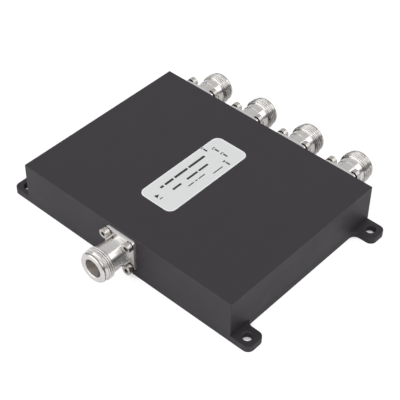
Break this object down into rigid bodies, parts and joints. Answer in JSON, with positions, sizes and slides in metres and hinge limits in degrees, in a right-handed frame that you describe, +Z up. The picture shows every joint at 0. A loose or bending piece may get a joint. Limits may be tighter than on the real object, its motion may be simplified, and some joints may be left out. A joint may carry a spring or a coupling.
{
  "type": "rf power splitter",
  "caption": "Flat black metal box with a threaded coaxial input socket on one long side, a row of output sockets on the other, and drilled mounting ears.",
  "frame": {"origin": "centre of the base plate's underside, which is also the bottom centre of the bounding box", "axes": "+X along the row of outputs, +Y from the input side to the output side, +Z up, out of the labelled top"},
  "size_m": [0.1436, 0.131, 0.0226],
  "materials": {
    "black_coat": "black anodised aluminium, fine matt texture",
    "nickel_plate": "nickel-plated brass, bright turned finish",
    "screw_steel": "stainless steel",
    "white_insulator": "white fluoropolymer, matt",
    "gold_contact": "gold-plated contact metal",
    "board_laminate": "green solder-masked laminate",
    "copper_foil": "bare copper track",
    "resistor_ceramic": "black ceramic chip",
    "solder_tin": "tin solder",
    "label_foil": "pale satin label with a bright rim"
  },
  "bodies": {
    "root": {"housing": "black_coat", "base_plate": "black_coat", "base_plate_screws": "screw_steel", "label_plate": "label_foil", "circuit_board": "board_laminate", "copper_tracks": "copper_foil", "isolation_resistors": "resistor_ceramic", "solder_joints": "solder_tin", "board_screws": "screw_steel", "flange_screws": "screw_steel", "spring_washers": "screw_steel", "input_connector_body": "nickel_plate", "input_insulator": "white_insulator", "input_contact": "gold_contact", "output_1_connector_body": "nickel_plate", "output_1_insulator": "white_insulator", "output_1_contact": "gold_contact", "output_2_connector_body": "nickel_plate", "output_2_insulator": "white_insulator", "output_2_contact": "gold_contact", "output_3_connector_body": "nickel_plate", "output_3_insulator": "white_insulator", "output_3_contact": "gold_contact", "output_4_connector_body": "nickel_plate", "output_4_insulator": "white_insulator", "output_4_contact": "gold_contact"}
  },
  "joints": []
}
